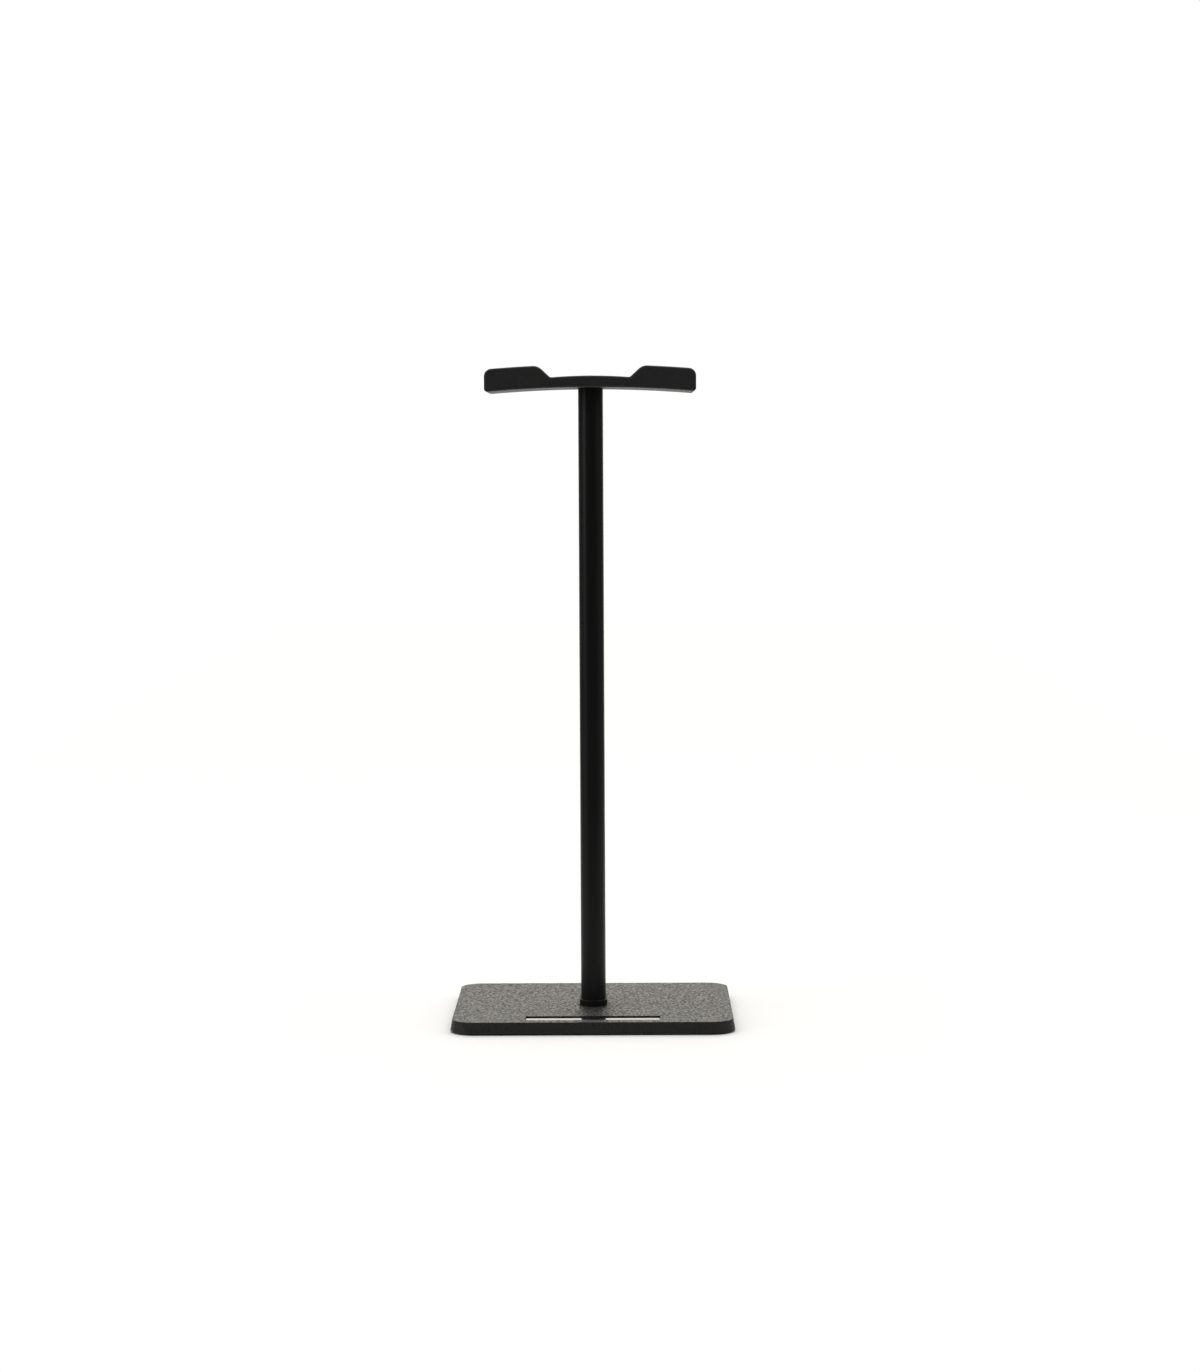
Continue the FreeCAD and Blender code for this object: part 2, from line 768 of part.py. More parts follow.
def make_saddle_screws():
    """Countersunk screws through the saddle into the upper plug."""
    screw = make_screw("saddle_screw", sunk_head("saddle_screw"), "-saddle_screw_length")
    cut_cross(screw)
    face = f"{TROUGH_FLOOR} - saddle_screw_sink"
    return copies("saddle_screws", screw, [(x, y, face) for x, y in POST_SCREWS])


def make_cover_screws():
    """Countersunk thread-forming screws that close the base."""
    screw = make_screw("cover_screw", sunk_head("cover_screw"), "-cover_screw_length")
    cut_cross(screw)
    places = [(x, y, COVER_FACE) for x, y in BOSSES]
    return copies("cover_screws", screw, places, turn_over=True)


# ------------------------------------------------------------------ saddle


def make_saddle():
    """Arched saddle: a trough between four lips, with a sloped notch front and back."""
    saddle = body("saddle")
    slab = sketch(saddle, "saddle_side", plane="XZ_Plane", y=SADDLE_BOTTOM)
    crown(
        slab,
        "saddle_length / 2",
        "0",
        "saddle_radius",
        ("arch", "saddle_height", "saddle_radius + saddle_height"),
    )
    pad(saddle, slab, "saddle_depth", middle=True)

    notch = sketch(saddle, "notch_side", plane="XZ_Plane", y=SADDLE_BOTTOM)
    notch_outline(notch)
    pocket(saddle, notch, f"saddle_depth + {OVERCUT}", middle=True)

    bottom = number(SADDLE_BOTTOM)
    end, root = number("saddle_length / 2"), number("notch_half")
    middle = bottom + number("sill_height")
    for radius, rule in (
        ("notch_inner_round", lambda x, z: abs(x - root) < NEAR and z < middle),
        ("lip_inner_round", lambda x, z: root + NEAR < x < end - NEAR),
        ("lip_outer_round", lambda x, z: abs(x - end) < NEAR and z > middle),
        ("lip_low_round", lambda x, z: abs(x - end) < NEAR and z < bottom),
    ):
        soften(saddle, "Fillet", along_y(rule), radius)

    trough = sketch(saddle, "trough_side", plane="XZ_Plane", y=SADDLE_BOTTOM)
    crown(
        trough,
        f"saddle_length / 2 + {OVERCUT}",
        "trough_height",
        "trough_radius",
        ("level", f"saddle_height + {OVERCUT}"),
    )
    pocket(saddle, trough, "saddle_depth - 2 * lip_thickness", middle=True)
    soften(saddle, "Fillet", in_face_y("saddle_depth / 2"), "saddle_edge")

    inner = in_face_y("saddle_depth / 2 - lip_thickness")
    seam = number(TROUGH_FLOOR) + NEAR
    soften(saddle, "Fillet", both(inner, lambda e: e.BoundBox.ZMax > seam), "trough_edge")
    drill_saddle(saddle)
    return saddle


def notch_outline(owner):
    """The notch's side view: the arched sill below, a slope on each side, open at the top."""
    half, apex, radius = number("notch_half"), number("sill_height"), number("sill_radius")
    slope = math.tan(math.radians(number("notch_slope")))
    turn = math.asin(half / radius)
    circle = Part.Circle(Vector(0, apex - radius, 0), Vector(0, 0, 1), radius)
    sill = Part.ArcOfCircle(circle, math.pi / 2 - turn, math.pi / 2 + turn)
    low, high = sill.StartPoint.y, number("saddle_height") + OVERCUT
    wide = half + (high - low) / slope
    owner.addGeometry(sill)
    owner.addGeometry(Part.LineSegment(Vector(half, low, 0), Vector(wide, high, 0)))
    owner.addGeometry(Part.LineSegment(Vector(wide, high, 0), Vector(-wide, high, 0)))
    owner.addGeometry(Part.LineSegment(Vector(-wide, high, 0), Vector(-half, low, 0)))
    for joint in ((0, 1, 1, 1), (1, 2, 2, 1), (2, 2, 3, 1), (3, 2, 0, 2)):
        owner.addConstraint(Sketcher.Constraint("Coincident", *joint))
    owner.addConstraint(Sketcher.Constraint("PointOnObject", 0, 3, -2))
    owner.addConstraint(Sketcher.Constraint("Symmetric", 2, 1, 2, 2, -2))
    constrain(owner, "sill_radius", "Radius", 0)
    constrain(owner, "sill_radius - sill_height", "DistanceY", 0, 3, -1, 1)
    constrain(owner, "notch_half", "DistanceX", -1, 1, 1, 1)
    constrain(owner, "notch_half", "DistanceX", 3, 2, -1, 1)
    constrain(owner, f"saddle_height + {OVERCUT}", "DistanceY", -1, 1, 2, 1)
    constrain(owner, "notch_slope", "Angle", 1)


def drill_saddle(saddle):
    """The socket for the post's end, and countersunk holes for the two screws."""
    socket = sketch(saddle, "post_socket", z="post_top")
    oval(socket, "post_width + 2 * socket_play", "post_depth + 2 * socket_play")
    pocket(saddle, socket, "socket_depth + saddle_edge", up=False)
    hole = "(saddle_screw_diameter + 2 * socket_play)"
    holes = sketch(saddle, "saddle_screw_holes", z=TROUGH_FLOOR)
    circles(holes, POST_SCREWS, hole)
    pocket(saddle, holes, "trough_height", up=False)
    mouth = "(saddle_screw_head + 2 * (saddle_screw_sink + saddle_screw_rim + thread_play))"
    countersinks(saddle, TROUGH_FLOOR, POST_SCREWS, mouth, hole, up=False)


def make_saddle_mat():
    """Soft ribbed mat that lies in the trough and hides the screws."""
    mat = body("saddle_mat")
    side = sketch(mat, "mat_side", plane="XZ_Plane", y=SADDLE_BOTTOM)
    crown(
        side,
        "mat_length / 2",
        "trough_height",
        "trough_radius",
        ("arch", "trough_height + mat_thickness", "trough_radius + mat_thickness"),
    )
    pad(mat, side, "saddle_depth - 2 * lip_thickness - 2 * mat_play", middle=True)
    soften(mat, "Fillet", upright, "mat_corner")

    ribs = sketch(mat, "mat_grooves", plane="XZ_Plane", y=SADDLE_BOTTOM)
    crest = "(trough_radius + mat_thickness)"
    for index in range(MAT_GROOVES):
        place_x = f"{index - (MAT_GROOVES - 1) / 2} * mat_groove_pitch"
        level = f"sqrt({crest}^2 - ({place_x})^2) - trough_radius + trough_height"
        left = f"{place_x} - mat_groove_width / 2"
        right = f"{place_x} + mat_groove_width / 2"
        floor, roof = f"{level} - mat_groove_depth", f"{level} + mat_thickness"
        outline(ribs, [(left, floor), (right, floor), (right, roof), (left, roof)])
    pocket(
        mat,
        ribs,
        "saddle_depth - 2 * lip_thickness - 2 * mat_play - 2 * mat_groove_margin",
        middle=True,
    )
    return mat


# ------------------------------------------------------------------ assembly and export


def check(things):
    """Stops on any object that failed and on any shape that isn't a valid set of solids."""
    doc.recompute()
    for thing in doc.Objects:
        bad = {"Invalid", "Error"} & set(thing.State)
        if bad:
            raise RuntimeError(f"{thing.Name} is {sorted(bad)}")
    for thing in things:
        shape = thing.Shape
        if shape.isNull() or not shape.isValid() or not shape.Solids:
            raise RuntimeError(f"{thing.Label} has no valid shape")


def main():
    strip, tape = make_name_strip()
    parts = [make_base_shell(), strip, tape, make_weight_plate(), make_base_cover()]
    parts += make_feet()
    parts += [make_post_tube(), make_collar()]
    parts.append(make_plug("foot_plug", CEILING, "foot_plug_length", drill_foot_plug))
    head_bottom = "post_top - head_plug_length"
    parts.append(make_plug("head_plug", head_bottom, "head_plug_length", drill_head_plug))
    parts += [make_foot_inserts(), make_post_screws(), make_saddle_screws(), make_cover_screws()]
    parts += [make_saddle(), make_saddle_mat()]
    check(parts)
    os.makedirs("parts", exist_ok=True)
    for part in parts:
        part.Shape.exportStep(f"parts/{part.Label}.step")
        print(f"{part.Label}: {len(part.Shape.Solids)} solid(s), {part.Shape.Volume / 1000:.3f} cm3")


main()
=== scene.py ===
"""Looks for a desktop headphone stand: materials, soft pieces, stage, lights and camera, in metres."""

import math

import bmesh
import bpy
from mathutils import Matrix, Vector


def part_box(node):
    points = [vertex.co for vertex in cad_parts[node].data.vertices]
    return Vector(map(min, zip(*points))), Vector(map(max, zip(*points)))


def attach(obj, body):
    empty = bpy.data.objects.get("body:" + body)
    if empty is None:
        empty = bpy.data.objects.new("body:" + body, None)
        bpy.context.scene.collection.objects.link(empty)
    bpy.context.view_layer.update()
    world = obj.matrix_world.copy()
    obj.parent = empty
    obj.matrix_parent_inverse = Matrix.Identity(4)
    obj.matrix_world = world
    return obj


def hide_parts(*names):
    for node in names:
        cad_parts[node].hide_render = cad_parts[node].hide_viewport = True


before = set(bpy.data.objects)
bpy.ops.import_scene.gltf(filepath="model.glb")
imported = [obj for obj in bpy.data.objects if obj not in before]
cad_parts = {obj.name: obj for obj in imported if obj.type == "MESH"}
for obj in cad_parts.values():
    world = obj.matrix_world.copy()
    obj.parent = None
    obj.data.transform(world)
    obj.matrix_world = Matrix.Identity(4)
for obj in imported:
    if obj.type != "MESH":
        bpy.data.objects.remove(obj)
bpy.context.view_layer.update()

MM = 0.001


# ------------------------------------------------------------------ node helpers

# Noise and cells are turned about this axis by this angle in radians, so that no face follows their grid.
NOISE_AXIS = (0.48, 0.64, 0.6)
NOISE_TURN = 0.7


def grey(level):
    return (level, level, level)


def new_material(name, color, roughness, **sockets):
    """A Principled material; each further socket is named with underscores for spaces."""
    made = bpy.data.materials.new(name)
    made.use_nodes = True
    shader = made.node_tree.nodes["Principled BSDF"]
    shader.inputs["Base Color"].default_value = (*color, 1.0)
    shader.inputs["Roughness"].default_value = roughness
    for socket, value in sockets.items():
        shader.inputs[socket.replace("_", " ")].default_value = value
    return made


def add(owner, kind, inputs=None, **settings):
    """Adds a node to a material or the world, sets its properties, and sets or links its inputs."""
    tree = owner.node_tree
    node = tree.nodes.new(kind)
    for name, value in settings.items():
        setattr(node, name, value)
    for key, value in (inputs or {}).items():
        if isinstance(value, bpy.types.NodeSocket):
            tree.links.new(value, node.inputs[key])
        else:
            node.inputs[key].default_value = value
    return node


def link(material, socket, name):
    """Links a socket to an input of the material's Principled shader."""
    shader = material.node_tree.nodes["Principled BSDF"]
    material.node_tree.links.new(socket, shader.inputs[name])


def place_coordinates(material, stretch=(1.0, 1.0, 1.0)):
    """The place on the object in metres, stretched along each axis, then turned."""
    where = add(material, "ShaderNodeTexCoord").outputs["Object"]
    scaled = add(material, "ShaderNodeVectorMath", {0: where, 1: stretch}, operation="MULTIPLY")
    turn = {"Vector": scaled.outputs[0], "Axis": NOISE_AXIS, "Angle": NOISE_TURN}
    return add(material, "ShaderNodeVectorRotate", turn).outputs[0]


def noise(material, size, detail=2.0, stretch=(1.0, 1.0, 1.0)):
    """Noise with blobs about size metres across; a small stretch draws them out along that axis."""
    where = place_coordinates(material, stretch)
    inputs = {"Vector": where, "Scale": 1.0 / size, "Detail": detail}
    return add(material, "ShaderNodeTexNoise", inputs).outputs["Fac"]


def cells(material, size):
    """Rounded cells about size metres across."""
    inputs = {"Vector": place_coordinates(material), "Scale": 1.0 / size}
    return add(material, "ShaderNodeTexVoronoi", inputs, feature="SMOOTH_F1").outputs["Distance"]


def spread(owner, value, low, high, start, end):
    """Maps a value from between start and end to between low and high, and no further."""
    inputs = {"Value": value, "From Min": start, "From Max": end, "To Min": low, "To Max": high}
    return add(owner, "ShaderNodeMapRange", inputs).outputs["Result"]


def times(material, first, second):
    return add(material, "ShaderNodeMath", {0: first, 1: second}, operation="MULTIPLY").outputs[0]


def facing_up(material, walls):
    """1 on faces that look up, and the given value on walls."""
    normal = add(material, "ShaderNodeTexCoord").outputs["Normal"]
    level = add(material, "ShaderNodeSeparateXYZ", {0: normal}).outputs["Z"]
    return spread(material, level, walls, 1.0, start=0.9, end=0.99)


def tint(material, value, dark, light, start=0.35, end=0.65):
    """Colours the base between two tones by a value."""
    ramp = add(material, "ShaderNodeValToRGB", {"Fac": value})
    low, high = ramp.color_ramp.elements
    low.position, low.color = start, (*dark, 1.0)
    high.position, high.color = end, (*light, 1.0)
    link(material, ramp.outputs["Color"], "Base Color")


def roughen(material, value, low, high, start=0.3, end=0.7):
    """Lets the roughness follow a value."""
    link(material, spread(material, value, low, high, start, end), "Roughness")


def bump(material, *layers):
    """Chains bumps, each a height socket with its depth in metres."""
    normal = None
    for height, depth in layers:
        inputs = {"Height": height, "Distance": depth, "Strength": 1.0}
        if normal is not None:
            inputs["Normal"] = normal
        normal = add(material, "ShaderNodeBump", inputs).outputs["Normal"]
    link(material, normal, "Normal")


# ------------------------------------------------------------------ materials


def base_plastic():
    """Black ABS with a pebbled top of uneven gloss and painted glints, and finer, plainer walls."""
    made = new_material("base_plastic", grey(0.01), 0.45, Specular_IOR_Level=0.17)
    mask = facing_up(made, walls=0.15)
    pebbles = times(made, cells(made, 0.9 * MM), mask)
    swell = times(made, noise(made, 1.5 * MM, detail=1.0), mask)
    fine = noise(made, 0.3 * MM, detail=3.0)
    bump(made, (swell, 0.45 * MM), (pebbles, 0.35 * MM), (fine, 0.04 * MM))
    # Painted glints: light speckles in the base colour, on faces that look up only, stand in for
    # highlights on the pebbles.
    painted_glints = times(made, noise(made, 0.5 * MM), mask)
    tint(made, painted_glints, (0.012, 0.012, 0.0115), (0.036, 0.033, 0.027), start=0.46, end=0.66)
    roughen(made, noise(made, 1.05 * MM, detail=3.0), 0.25, 0.69, start=0.38, end=0.62)
    return made


def cover_plastic():
    """Matt black ABS with flow clouds and a fine grain."""
    made = new_material("cover_plastic", (0.024, 0.024, 0.025), 0.6)
    clouds = noise(made, 14 * MM, detail=3.0)
    tint(made, clouds, (0.020, 0.020, 0.021), (0.029, 0.029, 0.030))
    bump(made, (noise(made, 0.5 * MM, detail=3.0), 0.05 * MM))
    roughen(made, noise(made, 2 * MM, detail=4.0), 0.52, 0.66)
    return made


def gloss_strip():
    """Polished black acrylic, a little wavy, under a clear coat."""
    made = new_material("gloss_strip", (0.008, 0.008, 0.009), 0.12, Coat_Weight=0.6, Coat_Roughness=0.06)
    clouds = noise(made, 9 * MM, detail=4.0)
    tint(made, clouds, (0.006, 0.006, 0.007), (0.011, 0.011, 0.012))
    bump(made, (noise(made, 6 * MM, detail=1.0), 0.012 * MM))
    roughen(made, noise(made, 1.6 * MM, detail=5.0), 0.08, 0.16)
    return made


def tape_film():
    """White double-sided tape with paper-like mottling."""
    made = new_material("tape_film", (0.62, 0.62, 0.58), 0.55)
    tint(made, noise(made, 1.2 * MM, detail=4.0), (0.52, 0.52, 0.47), (0.70, 0.70, 0.66))
    bump(made, (noise(made, 0.3 * MM), 0.01 * MM))
    return made


def plated_steel(name, dark, light, brush):
    """Zinc-plated steel, spotted, with brush lines along the axis that brush draws out."""
    made = new_material(name, light, 0.32, Metallic=1.0)
    tint(made, noise(made, 5 * MM, detail=4.0), dark, light)
    bump(made, (noise(made, 0.18 * MM, stretch=brush), 0.01 * MM))
    roughen(made, noise(made, 1.5 * MM, detail=4.0), 0.24, 0.42)
    return made


def rubber(name, grain, depth):
    """Black silicone rubber with a dusty bloom."""
    made = new_material(name, grey(0.02), 0.75)
    tint(made, noise(made, 4 * MM, detail=4.0), grey(0.016), grey(0.026))
    bump(made, (noise(made, grain, detail=3.0), depth))
    roughen(made, noise(made, 1.0 * MM, detail=4.0), 0.66, 0.84)
    return made


def anodised():
    """Black anodised extrusion: faint drawing lines along the post."""
    made = new_material("anodised", (0.003, 0.003, 0.0034), 0.34, Specular_IOR_Level=0.17)
    along = (1.0, 1.0, 0.006)
    streaks = noise(made, 0.9 * MM, detail=3.0, stretch=along)
    tint(made, streaks, (0.0018, 0.0018, 0.002), (0.0032, 0.0032, 0.0035))
    lines = noise(made, 0.22 * MM, stretch=along)
    etch = noise(made, 0.15 * MM)
    bump(made, (lines, 0.006 * MM), (etch, 0.004 * MM))
    patches = noise(made, 2.5 * MM, detail=4.0, stretch=(1.0, 1.0, 0.08))
    roughen(made, patches, 0.29, 0.39)
    return made


def soft_plastic(name, roughness, depth=0.12 * MM, level=0.0105, gloss=0.3):
    """Satin moulded plastic with a very fine spark-eroded grain."""
    made = new_material(name, grey(level), roughness, Specular_IOR_Level=gloss)
    light = 1.15 * level
    tint(made, noise(made, 11 * MM, detail=3.0), grey(0.85 * level), (light, light, 0.98 * light))
    bump(made, (noise(made, 0.34 * MM, detail=3.0), depth))
    patches = noise(made, 1.8 * MM, detail=4.0)
    roughen(made, patches, roughness - 0.05, roughness + 0.06)
    return made


def brass():
    """Turned brass with lathe rings round the sleeve."""
    made = new_material("brass", (0.72, 0.5, 0.22), 0.3, Metallic=1.0)
    tint(made, noise(made, 2 * MM, detail=4.0), (0.6, 0.4, 0.16), (0.78, 0.56, 0.27))
    bump(made, (noise(made, 0.12 * MM, stretch=(0.1, 0.1, 1.0)), 0.01 * MM))
    return made


TAPE = tape_film()
PLUG = soft_plastic("plug_plastic", 0.5)
SCREW = plated_steel("screw_steel", (0.50, 0.50, 0.51), (0.64, 0.64, 0.65), brush=(1.0, 1.0, 0.1))
PLATE = plated_steel("plate_steel", (0.40, 0.41, 0.42), (0.52, 0.53, 0.54), brush=(0.02, 1.0, 1.0))
COLLAR = soft_plastic("collar_plastic", 0.5, depth=0.05 * MM, level=0.003, gloss=0.14)
LOOKS = {
    "base_shell": base_plastic(),
    "base_cover": cover_plastic(),
    "weight_plate": PLATE,
    "name_strip": gloss_strip(),
    "strip_tape": TAPE,
    "foot_tapes": TAPE,
    "post_tube": anodised(),
    "post_collar": COLLAR,
    "foot_plug": PLUG,
    "head_plug": PLUG,
    "foot_inserts": brass(),
    "post_screws": SCREW,
    "saddle_screws": SCREW,
    "cover_screws": SCREW,
    "saddle": soft_plastic("saddle_plastic", 0.48),
}
for node, look in LOOKS.items():
    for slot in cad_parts[node].material_slots:
        slot.material = look

FOOT_RUBBER = rubber("foot_rubber", grain=0.25 * MM, depth=0.02 * MM)
MAT_RUBBER = rubber("mat_rubber", grain=0.3 * MM, depth=0.03 * MM)


# ------------------------------------------------------------------ soft pieces


def new_piece(name, verts, faces, look, node):
    """A smooth mesh that takes the place of a CAD node."""
    mesh = bpy.data.meshes.new(name)
    mesh.from_pydata(verts, [], faces)
    work = bmesh.new()
    work.from_mesh(mesh)
    bmesh.ops.recalc_face_normals(work, faces=work.faces)
    work.to_mesh(mesh)
    work.free()
    mesh.shade_smooth()
    mesh.materials.append(look)
    piece = bpy.data.objects.new(name, mesh)
    bpy.context.collection.objects.link(piece)
    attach(piece, "root")
    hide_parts(node)


def box_of(node):
    """The middle, half sizes, floor and top of a CAD node's box."""
    low, high = (Vector(corner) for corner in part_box(node))
    return (low + high) / 2, (high - low) / 2, low.z, high.z


# Feet: a round lower edge, a flat ring to stand on and a dimple inside it.
FEET = ("foot_front_left", "foot_front_right", "foot_rear_left", "foot_rear_right")
FOOT_EDGE = 0.4 * MM
FOOT_RING = 1.2 * MM
FOOT_RING_EDGE = 0.15 * MM
FOOT_DIMPLE = 0.25 * MM
FOOT_TOP_BEVEL = 0.08 * MM
FOOT_TURNS = 64
DIMPLE_STEPS = 8
EDGE_STEPS = 6


def foot_profile(radius, low, top):
    """The foot's section as (reach, level) points, from the middle of its face to that of its top."""
    dimple = radius - FOOT_EDGE - FOOT_RING
    points = [(0.0, low + FOOT_DIMPLE)]
    for step in range(1, DIMPLE_STEPS + 1):
        share = step / DIMPLE_STEPS
        points.append((dimple * share, low + FOOT_DIMPLE * (1 - share**4)))
    points.append((dimple + FOOT_RING_EDGE, low))
    for step in range(EDGE_STEPS + 1):
        turn = math.radians(90 * step / EDGE_STEPS)
        reach = radius - FOOT_EDGE + FOOT_EDGE * math.sin(turn)
        points.append((reach, low + FOOT_EDGE * (1 - math.cos(turn))))
    points += [(radius, top - FOOT_TOP_BEVEL), (radius - FOOT_TOP_BEVEL, top), (0.0, top)]
    return points


def lathe(centre, profile):
    """Turns a profile, which starts and ends on the axis, round the upright line through centre."""
    verts, faces, rings = [], [], []
    for reach, level in profile:
        count = FOOT_TURNS if reach else 1
        rings.append([len(verts) + step for step in range(count)])
        for step in range(count):
            turn = 2 * math.pi * step / FOOT_TURNS
            verts.append((centre.x + reach * math.cos(turn), centre.y + reach * math.sin(turn), level))
    for inner, outer in zip(rings, rings[1:]):
        for step in range(FOOT_TURNS):
            after = (step + 1) % FOOT_TURNS
            if len(inner) == 1:
                faces.append((inner[0], outer[step], outer[after]))
            elif len(outer) == 1:
                faces.append((inner[step], inner[after], outer[0]))
            else:
                faces.append((inner[step], inner[after], outer[after], outer[step]))
    return verts, faces


def make_foot(node):
    middle, half, low, top = box_of(node)
    verts, faces = lathe(middle, foot_profile(half.x, low, top))
    new_piece(f"soft_{node}", verts, faces, FOOT_RUBBER, node)


# Mat: an arched sheet with round corners, a round upper edge and grooves across it.
MAT_THICKNESS = 1.0 * MM
MAT_CORNER = 2.0 * MM
MAT_EDGE = 0.35 * MM
MAT_STEP = 3.0 * MM
MAT_STEPS = 5
EDGE_SHARES = (0.0, 0.07, 0.25, 0.55, 1.0)
EDGE_CLEARANCE = 1.3 * MAT_EDGE
GROOVES = 15
GROOVE_PITCH = 4.5 * MM
GROOVE_HALF = 0.55 * MM
GROOVE_DEPTH = 0.35 * MM
GROOVE_MARGIN = 2.5 * MM
GROOVE_STEPS = 4
RUN_OUT_SHARES = (0.0, 0.3, 0.6, 1.0)


def round_corner(x, y, half_x, half_y):
    """Moves a point of a rectangle to the like point of one with round corners.

    u and v run from 0 to 1 over the corner's square, which is pressed into a quarter disc.
    """
    u = (abs(x) - half_x) / MAT_CORNER + 1
    v = (abs(y) - half_y) / MAT_CORNER + 1
    if u <= 0 or v <= 0:
        return x, y
    new_x = half_x - MAT_CORNER + MAT_CORNER * u * math.sqrt(1 - v * v / 2)
    new_y = half_y - MAT_CORNER + MAT_CORNER * v * math.sqrt(1 - u * u / 2)
    return math.copysign(new_x, x), math.copysign(new_y, y)


def edge_fall(x, y, half_x, half_y):
    """How far the round upper edge lies below the mat's surface at a place."""
    over_x = abs(x) - (half_x - MAT_CORNER)
    over_y = abs(y) - (half_y - MAT_CORNER)
    reach = math.hypot(max(over_x, 0), max(over_y, 0)) + min(max(over_x, over_y), 0)
    inset = min(max(MAT_CORNER - reach, 0.0), MAT_EDGE)
    return MAT_EDGE - math.sqrt(MAT_EDGE**2 - (MAT_EDGE - inset) ** 2)


def groove_depth(x, y, half_y):
    """The depth of the grooves at a place: round in section, run out at both ends."""
    centre = GROOVE_PITCH * round(x / GROOVE_PITCH)
    beside = abs(x - centre) / GROOVE_HALF
    if beside >= 1 or abs(centre) > GROOVE_PITCH * GROOVES / 2:
        return 0.0
    run_out = max(0.0, min(1.0, (half_y - GROOVE_MARGIN - abs(y)) / GROOVE_HALF))
    section = (1 + math.cos(math.pi * beside)) / 2
    return GROOVE_DEPTH * section * math.sin(run_out * math.pi / 2)


def groove_lines():
    """Grid lines through each groove from side to side, and halfway between grooves."""
    centres = [GROOVE_PITCH * (index - GROOVES // 2) for index in range(GROOVES)]
    shares = [step / GROOVE_STEPS for step in range(-GROOVE_STEPS, GROOVE_STEPS + 1)]
    lines = [centre + GROOVE_HALF * share for centre in centres for share in shares]
    lines += [GROOVE_PITCH * (index - GROOVES / 2) for index in range(GROOVES + 1)]
    outer = GROOVE_PITCH * (GROOVES + 1) / 2
    return lines + [-outer, outer]


def end_lines(half_y):
    """Grid lines across the grooves: close together where they run out, then even."""
    end = half_y - GROOVE_MARGIN
    ends = [end - GROOVE_HALF * share for share in RUN_OUT_SHARES]
    even = [MAT_STEP * index for index in range(-MAT_STEPS, MAT_STEPS + 1)]
    return ends + [-place for place in ends] + even


def mat_lines(half, inner):
    """All grid lines over a width: close together at the round edges, then the inner ones."""
    edge = [half - MAT_EDGE * share for share in EDGE_SHARES]
    lines = [line for line in inner if abs(line) < half - EDGE_CLEARANCE]
    return sorted(set(lines + edge + [-line for line in edge]))


def slab_faces(rows, columns):
    """Faces of a closed slab over a grid of points, each an upper vertex and then a lower one."""
    def upper(row, column):
        return 2 * (row * columns + column)

    faces = []
    for row in range(rows - 1):
        for column in range(columns - 1):
            near, far = upper(row, column), upper(row + 1, column)
            ring = [near, far, far + 2, near + 2]
            faces.append(ring)
            faces.append([index + 1 for index in reversed(ring)])
    rim = [upper(0, column) for column in range(columns)]
    rim += [upper(row, columns - 1) for row in range(1, rows)]
    rim += [upper(rows - 1, column) for column in reversed(range(columns - 1))]
    rim += [upper(row, 0) for row in reversed(range(1, rows - 1))]
    for start, stop in zip(rim, rim[1:] + rim[:1]):
        faces.append([start, stop, stop + 1, start + 1])
    return faces


def make_mat():
    middle, half, low, top = box_of("saddle_mat")
    sag = top - low - MAT_THICKNESS
    radius = (half.x**2 + sag**2) / (2 * sag)
    across = mat_lines(half.x, groove_lines())
    along = mat_lines(half.y, end_lines(half.y))
    verts = []
    for line_x in across:
        for line_y in along:
            x, y = round_corner(line_x, line_y, half.x, half.y)
            floor = top - MAT_THICKNESS - radius + math.sqrt(radius**2 - x**2)
            fall = edge_fall(x, y, half.x, half.y) + groove_depth(x, y, half.y)
            verts.append((middle.x + x, middle.y + y, floor + MAT_THICKNESS - fall))
            verts.append((middle.x + x, middle.y + y, floor))
    faces = slab_faces(len(across), len(along))
    new_piece("soft_saddle_mat", verts, faces, MAT_RUBBER, "saddle_mat")


for foot in FEET:
    make_foot(foot)
make_mat()


# ------------------------------------------------------------------ stage

FLOOR_SIDE = 0.45
FLOOR_FRONT = -0.25
FLOOR_BACK = 3.0


def make_floor():
    """A sheet of pale paper."""
    mesh = bpy.data.meshes.new("floor")
    left, right, front, back = -FLOOR_SIDE, FLOOR_SIDE, FLOOR_FRONT, FLOOR_BACK
    corners = [(left, front, 0), (right, front, 0), (right, back, 0), (left, back, 0)]
    mesh.from_pydata(corners, [], [(0, 1, 2, 3)])
    floor = bpy.data.objects.new("floor", mesh)
    bpy.context.collection.objects.link(floor)
    paper = new_material("paper", (0.675, 0.672, 0.666), 0.9)
    tint(paper, noise(paper, 0.4), (0.672, 0.669, 0.663), (0.678, 0.675, 0.669))
    mesh.materials.append(paper)


# The walls round the stand as a light: from the front wall at 0 to the warm back wall at 1,
# with shares of the back wall's light at places between them.
FRONT_WALL = (0.14, 0.14, 0.143)
BACK_WALL = (1.0, 0.95, 0.84)
WALL_SHARES = ((0.36, 0.14), (0.5, 0.36), (0.7, 0.14), (0.86, 0.1), (0.95, 0.95))
WALL_STRENGTH = 1.44
# The dome above as a light, which grows from none at the low level to its strength at the high one.
DOME_STRENGTH = 0.6
DOME_LOW = 0.15
DOME_HIGH = 0.5
# The white that the camera sees.
SEEN_STRENGTH = 1.02


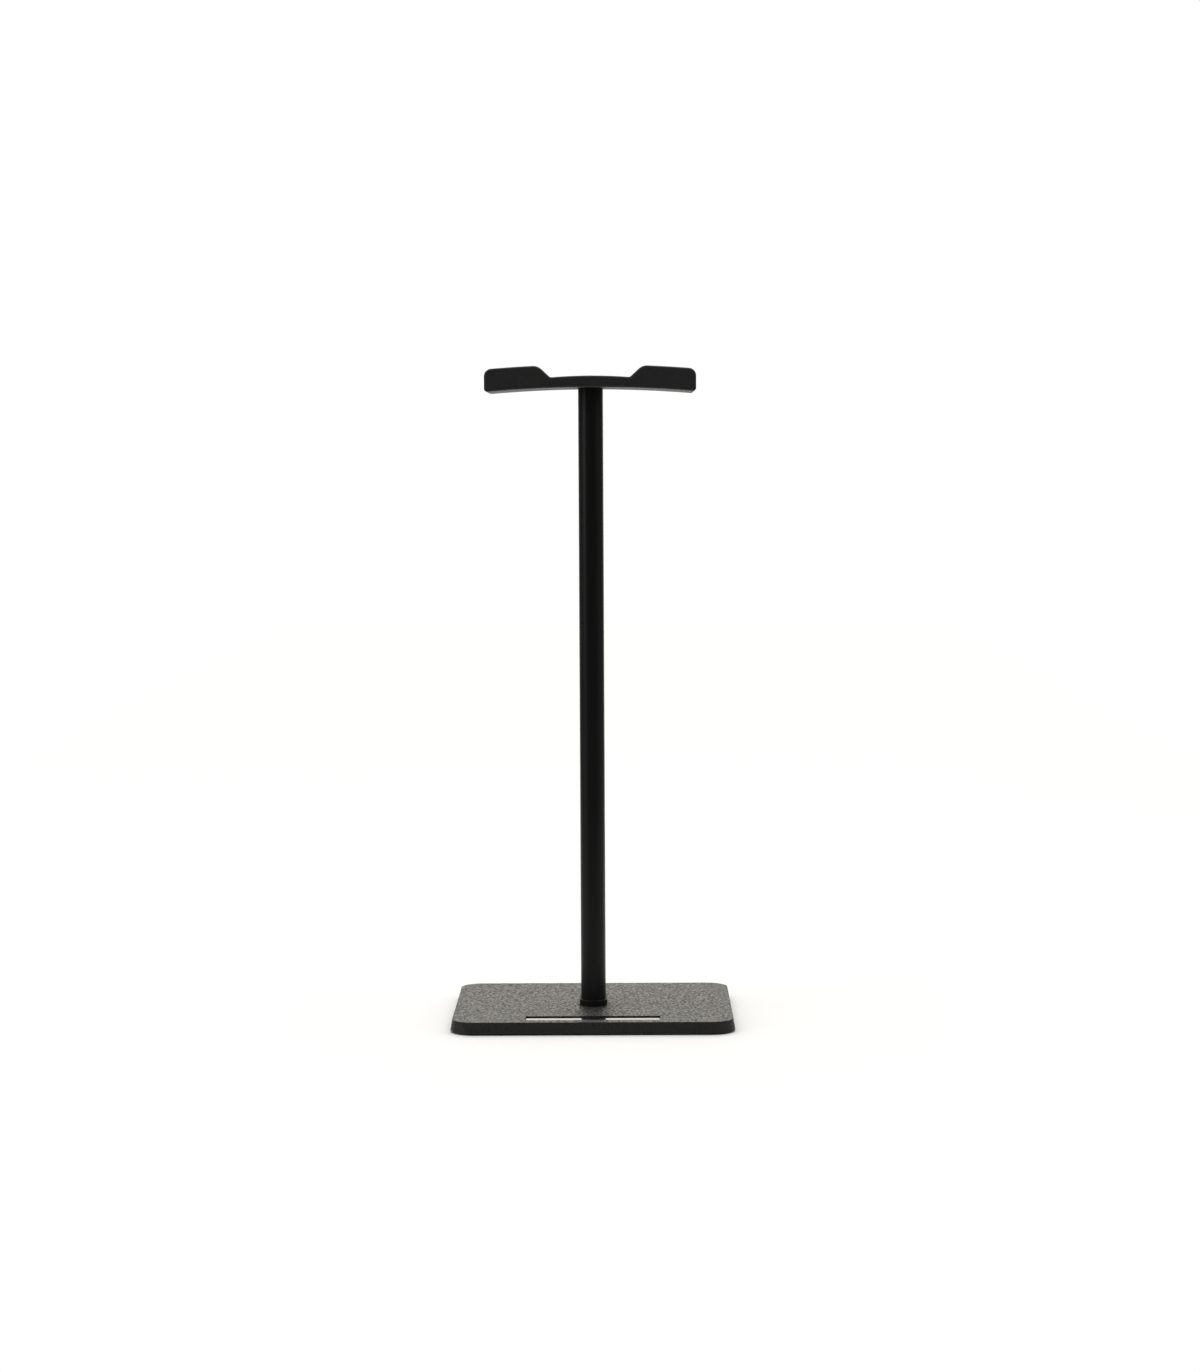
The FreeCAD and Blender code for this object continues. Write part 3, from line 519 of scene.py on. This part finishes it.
def make_world():
    """White to the camera; as a light, bright behind the stand, dim in front and grey above."""
    world = bpy.data.worlds.new("studio")
    bpy.context.scene.world = world
    world.use_nodes = True
    world.node_tree.nodes.clear()
    where = add(world, "ShaderNodeTexCoord").outputs["Generated"]
    split = add(world, "ShaderNodeSeparateXYZ", {0: where})

    way_back = spread(world, split.outputs["Y"], 0.0, 1.0, start=-1.0, end=1.0)
    ramp = add(world, "ShaderNodeValToRGB", {"Fac": way_back})
    front, back = ramp.color_ramp.elements
    front.color, back.color = (*FRONT_WALL, 1), (*BACK_WALL, 1)
    for place, share in WALL_SHARES:
        ramp.color_ramp.elements.new(place).color = (*(share * part for part in BACK_WALL), 1)
    walls = {"Color": ramp.outputs["Color"], "Strength": WALL_STRENGTH}
    lit = add(world, "ShaderNodeBackground", walls).outputs[0]

    rise = spread(world, split.outputs["Z"], 0.0, DOME_STRENGTH, start=DOME_LOW, end=DOME_HIGH)
    white = (*grey(1.0), 1)
    dome = add(world, "ShaderNodeBackground", {"Color": white, "Strength": rise}).outputs[0]
    both = add(world, "ShaderNodeAddShader", {0: lit, 1: dome}).outputs[0]

    seen = add(world, "ShaderNodeBackground", {"Color": white, "Strength": SEEN_STRENGTH}).outputs[0]
    to_camera = add(world, "ShaderNodeLightPath").outputs["Is Camera Ray"]
    mix = add(world, "ShaderNodeMixShader", {0: to_camera, 1: both, 2: seen}).outputs[0]
    add(world, "ShaderNodeOutputWorld", {"Surface": mix})


# Lengths in metres, turns in degrees.
SIDE_LIGHT_SIZE = (0.5, 0.9)
SIDE_LIGHT_AIM = (0.0, 0.0, 0.1)
OVERHEAD_STRENGTH = 2.1
OVERHEAD_ANGLE = 80
OVERHEAD_TILT = -24


def side_light(name, place, power):
    """A tall soft box aimed at the stand."""
    data = bpy.data.lights.new(name, "AREA")
    data.shape = "RECTANGLE"
    data.size, data.size_y = SIDE_LIGHT_SIZE
    data.energy = power
    lamp = bpy.data.objects.new(name, data)
    lamp.location = place
    aim = Vector(SIDE_LIGHT_AIM) - Vector(place)
    lamp.rotation_euler = aim.to_track_quat("-Z", "Y").to_euler()
    bpy.context.collection.objects.link(lamp)


def overhead_light():
    """A wide soft light from above and a little behind, even over the whole floor."""
    data = bpy.data.lights.new("overhead", "SUN")
    data.energy = OVERHEAD_STRENGTH
    data.angle = math.radians(OVERHEAD_ANGLE)
    lamp = bpy.data.objects.new("overhead", data)
    lamp.rotation_euler = (math.radians(OVERHEAD_TILT), 0, 0)
    bpy.context.collection.objects.link(lamp)


# Lengths in metres, turns in degrees, sensor and lens in millimetres.
CAMERA_DISTANCE = 1.2803
CAMERA_HEIGHT = 0.23203
CAMERA_SIDE = 0.0033
CAMERA_PITCH = 4.229
CAMERA_YAW = -0.396
CAMERA_ROLL = -0.276
CAMERA_SENSOR = 36.0
CAMERA_LENS = 81.341
CAMERA_CLIP = (0.05, 60.0)


def make_camera():
    """A long lens near the saddle's level, looking slightly down."""
    pitch, yaw, roll = (math.radians(turn) for turn in (CAMERA_PITCH, CAMERA_YAW, CAMERA_ROLL))
    right = Vector((1, 0, 0))
    up = Vector((0, math.sin(pitch), math.cos(pitch)))
    forward = Vector((0, math.cos(pitch), -math.sin(pitch)))
    rolled_right = right * math.cos(roll) + up * math.sin(roll)
    rolled_up = up * math.cos(roll) - right * math.sin(roll)
    turn = Matrix.Rotation(-yaw, 3, "Z")
    axes = [turn @ axis for axis in (rolled_right, rolled_up, -forward)]
    data = bpy.data.cameras.new("camera")
    data.sensor_width = CAMERA_SENSOR
    data.lens = CAMERA_LENS
    data.clip_start, data.clip_end = CAMERA_CLIP
    camera = bpy.data.objects.new("camera", data)
    pose = Matrix(axes).transposed().to_4x4()
    pose.translation = turn @ Vector((CAMERA_SIDE, -CAMERA_DISTANCE, CAMERA_HEIGHT))
    camera.matrix_world = pose
    bpy.context.collection.objects.link(camera)
    bpy.context.scene.camera = camera


make_floor()
make_world()
overhead_light()
side_light("left_box", (-1.35, -0.65, 0.55), 4.0)
side_light("right_box", (1.4, -0.6, 0.75), 2.2)
make_camera()
bpy.context.scene.view_settings.view_transform = "Standard"
